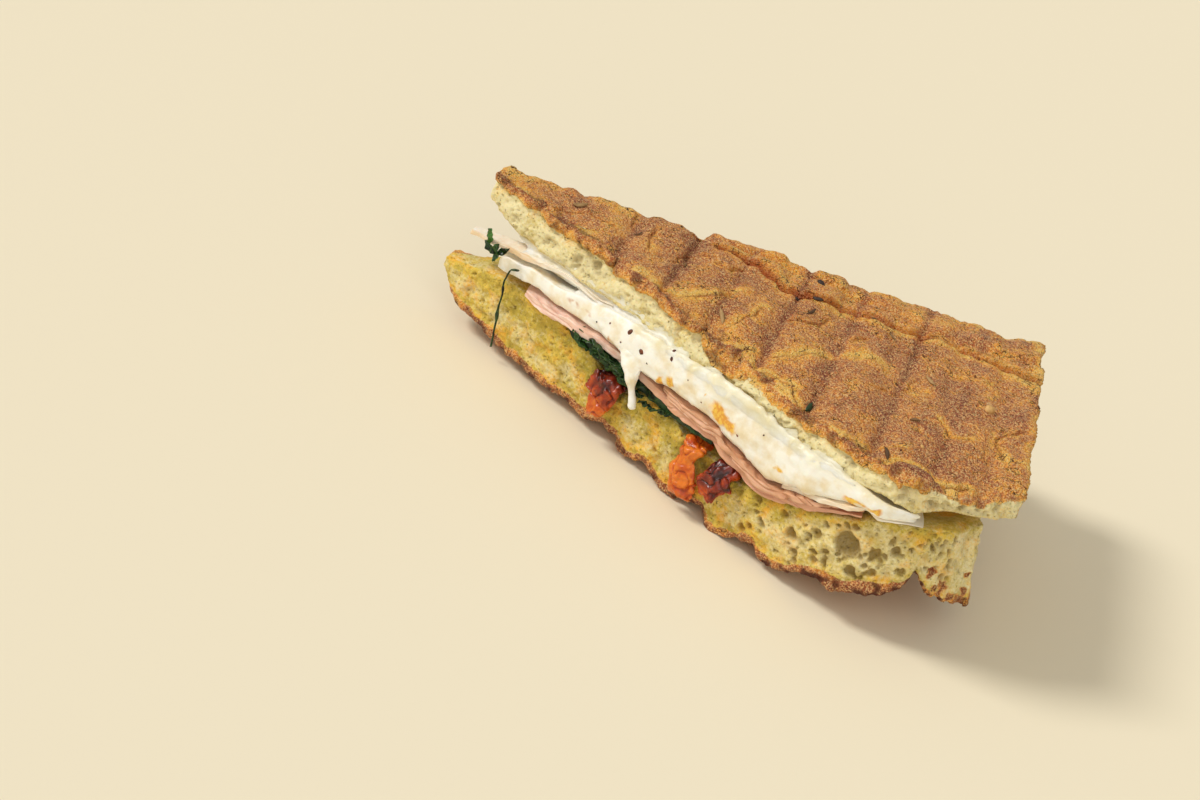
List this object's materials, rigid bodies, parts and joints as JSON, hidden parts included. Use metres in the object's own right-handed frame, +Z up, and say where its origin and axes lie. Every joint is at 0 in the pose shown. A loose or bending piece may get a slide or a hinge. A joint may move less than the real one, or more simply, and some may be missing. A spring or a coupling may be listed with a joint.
{
  "type": "panini half",
  "caption": "Half of a grilled ciabatta panini, cut on the slant, with melted cheese, ham, turkey, spinach and dried tomato showing at the cut.",
  "frame": {"origin": "middle of the half's box, at the floor it lies on", "axes": "+X along the cut from the pointed end, the cut faces -Y, +Z up out of the upper crust"},
  "size_m": [0.1994, 0.1238, 0.0585],
  "materials": {
    "bread": "matte",
    "cheese": "satin",
    "ham": "satin",
    "turkey": "satin",
    "spinach": "satin",
    "tomato": "gloss"
  },
  "bodies": {
    "root": {"bread_lower": "bread", "bread_upper": "bread", "cheese": "cheese", "ham_lower": "ham", "ham_upper": "ham", "turkey_end": "turkey", "turkey_tip": "turkey", "spinach_layer": "spinach", "spinach_scrap": "spinach", "spinach_stalk": "spinach", "tomato_first": "tomato", "tomato_left": "tomato", "tomato_right": "tomato"}
  },
  "joints": []
}
